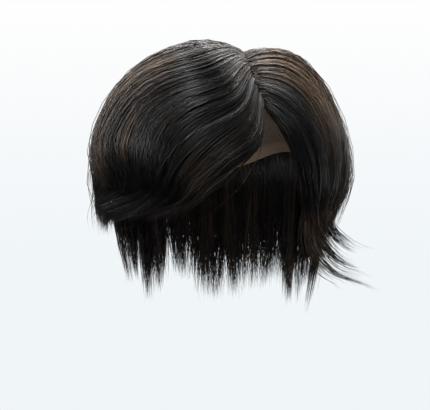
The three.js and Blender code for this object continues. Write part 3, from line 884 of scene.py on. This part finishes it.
def add_cap_looks(mesh, azimuth, drop, roll_drop):
    """Where the cap has its tape, which points are inside, and the cap laid out flat for the net."""
    from_edge = (base_edge(azimuth) - drop) * HAIR_FALL * math.pi / 2
    tape = smoothstep(TAPE_WIDTH - from_edge, -TAPE_BLEND, TAPE_BLEND)
    taped = np.concatenate([tape, np.ones(roll_drop.shape), tape[::-1]])
    add_point_values(mesh, "tape", np.append(taped, (0, 0)))
    inside = np.concatenate([np.zeros(drop.shape), np.full(roll_drop.shape, 0.5), np.ones(drop.shape)])
    add_point_values(mesh, "inside", np.append(inside, (0, 1)))

    reach = np.concatenate([drop, roll_drop, drop[::-1]]) * HEAD_BREADTH / 2 * math.pi / 2
    flat = np.stack([reach * np.sin(azimuth), reach * np.cos(azimuth), np.zeros(reach.shape)], axis=-1)
    flat = np.concatenate([flat.reshape(-1, 3), np.zeros((2, 3))]) * MM
    data = mesh.attributes.new("spread", "FLOAT_VECTOR", "POINT").data
    data.foreach_set("vector", flat.astype(np.float32).ravel())


def build_base(material):
    """The cap as a fine smooth shell whose outer and inner faces meet in a rounded edge."""
    azimuth = np.linspace(0, 2 * math.pi, BASE_COLUMNS, endpoint=False)[None]
    drop = np.linspace(0, 1, BASE_ROWS + 1)[1:, None] * base_edge(azimuth)
    turn = np.linspace(0, math.pi, EDGE_ROLL + 2)[1:-1, None]
    roll_drop = base_edge(azimuth) + np.sin(turn) * BASE_WALL / 2 / HAIR_FALL
    outer, _ = on_head(azimuth, drop, BASE_WALL)
    roll, _ = on_head(azimuth, roll_drop, BASE_WALL / 2 * (1 + np.cos(turn)))
    inner, _ = on_head(azimuth, drop, 0)
    rings = np.concatenate([outer, roll, inner[::-1]])
    crown, _ = on_head(np.zeros(2), np.full(2, LEAST_DROP), (BASE_WALL, 0))
    vertices = np.concatenate([rings.reshape(-1, 3), crown])
    quads = round_quads(len(rings), BASE_COLUMNS)
    mesh = mesh_from("base_cap_net", vertices * MM, quads, cap_fans(len(rings)))
    add_cap_looks(mesh, azimuth, drop, roll_drop)
    add_piece("base_cap_net", mesh, material, "base_cap")


# Materials


def new_material(name):
    material = bpy.data.materials.new(name)
    material.use_nodes = True
    return material, material.node_tree, material.node_tree.nodes["Principled BSDF"]


def feed(tree, value, socket):
    """Links another node's output to a socket, or sets a plain value on it."""
    if isinstance(value, bpy.types.NodeSocket):
        tree.links.new(value, socket)
    else:
        socket.default_value = value


def read_attribute(tree, name, output="Fac"):
    attribute = tree.nodes.new("ShaderNodeAttribute")
    attribute.attribute_name = name
    return attribute.outputs[output]


def add_ramp(tree, value, stops):
    """The colour at a value from 0 to 1. A stop is a value and its colour."""
    ramp = tree.nodes.new("ShaderNodeValToRGB")
    elements = ramp.color_ramp.elements
    while len(elements) < len(stops):
        elements.new(0.5)
    for element, (place, colour) in zip(elements, stops):
        element.position = place
        element.color = (*colour, 1)
    tree.links.new(value, ramp.inputs["Fac"])
    return ramp.outputs["Color"]


def add_noise(tree, scale, detail):
    place = tree.nodes.new("ShaderNodeTexCoord")
    noise = tree.nodes.new("ShaderNodeTexNoise")
    noise.inputs["Scale"].default_value = scale
    noise.inputs["Detail"].default_value = detail
    tree.links.new(place.outputs["Object"], noise.inputs["Vector"])
    return noise.outputs["Fac"]


def add_range(tree, value, low, high):
    """A value from 0 to 1 stretched over another range."""
    stretched = tree.nodes.new("ShaderNodeMapRange")
    stretched.inputs["To Min"].default_value = low
    stretched.inputs["To Max"].default_value = high
    tree.links.new(value, stretched.inputs["Value"])
    return stretched.outputs["Result"]


def add_math(tree, operation, *values):
    math_node = tree.nodes.new("ShaderNodeMath")
    math_node.operation = operation
    for socket, value in zip(math_node.inputs, values):
        feed(tree, value, socket)
    return math_node.outputs["Value"]


def add_mix(tree, factor, low, high, blend="MIX"):
    """A mix of two colours, each a plain colour or another node's output."""
    mix = tree.nodes.new("ShaderNodeMix")
    mix.data_type = "RGBA"
    mix.blend_type = blend
    feed(tree, factor, mix.inputs["Factor"])
    feed(tree, low, mix.inputs["A"])
    feed(tree, high, mix.inputs["B"])
    return mix.outputs["Result"]


def hair_material():
    """Near-black hair, browner where its tone is high (in places painted light and shade), rougher where
    dull.
    """
    material, tree, shader = new_material("hair_strands")
    clouds = add_noise(tree, HAIR_CLOUDS, HAIR_DETAIL)
    cloudy = add_range(tree, clouds, -HAIR_CLOUDINESS, HAIR_CLOUDINESS)
    # The tone carries a painted glow, painted highlights and painted shade at the listed places.
    tone_and_painted_light = add_math(tree, "ADD", read_attribute(tree, "tone_and_painted_light"), cloudy)
    tree.links.new(add_ramp(tree, tone_and_painted_light, HAIR_COLOURS), shader.inputs["Base Color"])
    sleek = add_range(tree, add_noise(tree, SHEEN_CLOUDS, SHEEN_DETAIL), *HAIR_ROUGHNESS)
    rough = add_math(tree, "MULTIPLY_ADD", read_attribute(tree, "dull"), DULL_ROUGHNESS, sleek)
    tree.links.new(rough, shader.inputs["Roughness"])
    shader.inputs["IOR"].default_value = HAIR_IOR
    return material


def net_threads(tree):
    """1 on the threads of an uneven net, and 0 in its holes."""
    net = tree.nodes.new("ShaderNodeTexVoronoi")
    net.voronoi_dimensions = "2D"
    net.feature = "DISTANCE_TO_EDGE"
    net.inputs["Scale"].default_value = NET_CELLS
    net.inputs["Randomness"].default_value = NET_UNEVENNESS
    tree.links.new(read_attribute(tree, "spread", "Vector"), net.inputs["Vector"])
    return add_ramp(tree, net.outputs["Distance"], NET_THREADS)


def base_material():
    """Knotted net, darker outside, with a smooth tape along its edge."""
    material, tree, shader = new_material("base_net")
    threads = net_threads(tree)
    tape = read_attribute(tree, "tape")
    thread_colour = add_mix(tree, read_attribute(tree, "inside"), OUTER_THREADS, INNER_THREADS)
    weave = add_mix(tree, threads, NET_HOLES, thread_colour)
    taped = add_mix(tree, tape, weave, TAPE_COLOUR)
    worn = add_mix(tree, WEAR, taped, add_noise(tree, WEAR_CLOUDS, WEAR_DETAIL), "MULTIPLY")
    tree.links.new(worn, shader.inputs["Base Color"])
    tree.links.new(add_range(tree, tape, NET_ROUGHNESS, TAPE_ROUGHNESS), shader.inputs["Roughness"])
    bump = tree.nodes.new("ShaderNodeBump")
    bump.inputs["Strength"].default_value = THREAD_BUMP
    bump.inputs["Distance"].default_value = THREAD_HEIGHT * MM
    tree.links.new(threads, bump.inputs["Height"])
    tree.links.new(bump.outputs["Normal"], shader.inputs["Normal"])
    return material


def studio_material():
    """A pale sweep that glows evenly, seen from its inner side only."""
    material, tree, shader = new_material("studio_sweep")
    place = tree.nodes.new("ShaderNodeTexCoord")
    parts = tree.nodes.new("ShaderNodeSeparateXYZ")
    tree.links.new(place.outputs["Object"], parts.inputs["Vector"])
    height = tree.nodes.new("ShaderNodeMapRange")
    height.inputs["From Min"].default_value = FLOOR_HEIGHT * MM
    height.inputs["From Max"].default_value = PALE_TOP * MM
    tree.links.new(parts.outputs["Z"], height.inputs["Value"])
    glow = add_ramp(tree, height.outputs["Result"], ((0, FLOOR_COLOUR), (1, WALL_COLOUR)))
    tree.links.new(glow, shader.inputs["Emission Color"])
    shader.inputs["Emission Strength"].default_value = 1
    shader.inputs["Base Color"].default_value = (0, 0, 0, 1)
    shader.inputs["Roughness"].default_value = 1
    shader.inputs["Specular IOR Level"].default_value = 0
    clear = tree.nodes.new("ShaderNodeBsdfTransparent")
    sides = tree.nodes.new("ShaderNodeMixShader")
    facing = tree.nodes.new("ShaderNodeNewGeometry")
    tree.links.new(facing.outputs["Backfacing"], sides.inputs["Fac"])
    tree.links.new(shader.outputs["BSDF"], sides.inputs[1])
    tree.links.new(clear.outputs["BSDF"], sides.inputs[2])
    tree.links.new(sides.outputs["Shader"], tree.nodes["Material Output"].inputs["Surface"])
    return material


# The studio


def build_sweep(material):
    """A round pale floor that runs up into a wall all round without a corner."""
    turn = np.linspace(0, math.pi / 2, SWEEP_STEPS)
    reach = np.concatenate([[1], FLOOR_REACH + SWEEP_RADIUS * np.sin(turn), [FLOOR_REACH + SWEEP_RADIUS]])
    height = np.concatenate([[0], SWEEP_RADIUS * (1 - np.cos(turn)), [SWEEP_TOP]]) + FLOOR_HEIGHT
    azimuth = np.linspace(0, 2 * math.pi, SWEEP_COLUMNS, endpoint=False)
    rings = np.stack([reach[:, None] * np.sin(azimuth), -reach[:, None] * np.cos(azimuth),
                      np.broadcast_to(height[:, None], (len(height), SWEEP_COLUMNS))], axis=-1)
    centre = np.stack([np.zeros(SWEEP_COLUMNS - 2, int), np.arange(1, SWEEP_COLUMNS - 1),
                       np.arange(2, SWEEP_COLUMNS)], axis=-1)
    quads = round_quads(len(reach), SWEEP_COLUMNS)
    mesh = mesh_from("studio_sweep", rings.reshape(-1, 3) * MM, quads, centre)
    mesh.materials.append(material)
    sweep = bpy.data.objects.new("studio_sweep", mesh)
    bpy.context.scene.collection.objects.link(sweep)
    sweep.visible_diffuse = False
    sweep.visible_glossy = False
    sweep.visible_shadow = False
    sweep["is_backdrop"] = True


def add_light(name, place, aim, width, power, colour):
    """A square softbox at a place, facing an aim."""
    light = bpy.data.lights.new(name, "AREA")
    light.size = width * MM
    light.energy = power
    light.color = colour
    lamp = bpy.data.objects.new(name, light)
    lamp.location = Vector(place) * MM
    lamp.rotation_euler = (Vector(aim) - Vector(place)).to_track_quat("-Z", "Y").to_euler()
    bpy.context.scene.collection.objects.link(lamp)


def keep_fill_inside():
    """The fill shows the inside through the open face, so it lights the base and the nape alone."""
    lit = bpy.data.collections.new("lit_inside")
    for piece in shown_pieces():
        if piece.name.startswith(("base_cap", "nape_back")):
            lit.objects.link(piece)
    bpy.data.objects[INSIDE_FILL].light_linking.receiver_collection = lit


def build_lights():
    for row in LIGHTS:
        add_light(*row)
    keep_fill_inside()
    world = bpy.data.worlds.new("studio")
    world.use_nodes = True
    background = world.node_tree.nodes["Background"]
    background.inputs["Color"].default_value = WORLD_COLOUR
    background.inputs["Strength"].default_value = WORLD_LIGHT
    bpy.context.scene.world = world
    bpy.context.scene.view_settings.view_transform = "Standard"


def build_camera():
    camera = bpy.data.cameras.new("camera")
    camera.sensor_width = SENSOR_WIDTH
    camera.lens = FOCAL_PIXELS * SENSOR_WIDTH / PHOTO_WIDTH
    tilt = math.radians(CAMERA_ELEVATION)
    aim = Vector(CAMERA_TARGET) * MM
    back = Vector((0, -math.cos(tilt), math.sin(tilt))) * CAMERA_DISTANCE * MM
    holder = bpy.data.objects.new("camera", camera)
    holder.location = aim + back
    holder.rotation_euler = (-back).to_track_quat("-Z", "Y").to_euler()
    bpy.context.scene.collection.objects.link(holder)
    bpy.context.scene.camera = holder


build_camera()
build_hair(hair_material())
build_base(base_material())
build_sweep(studio_material())
build_lights()
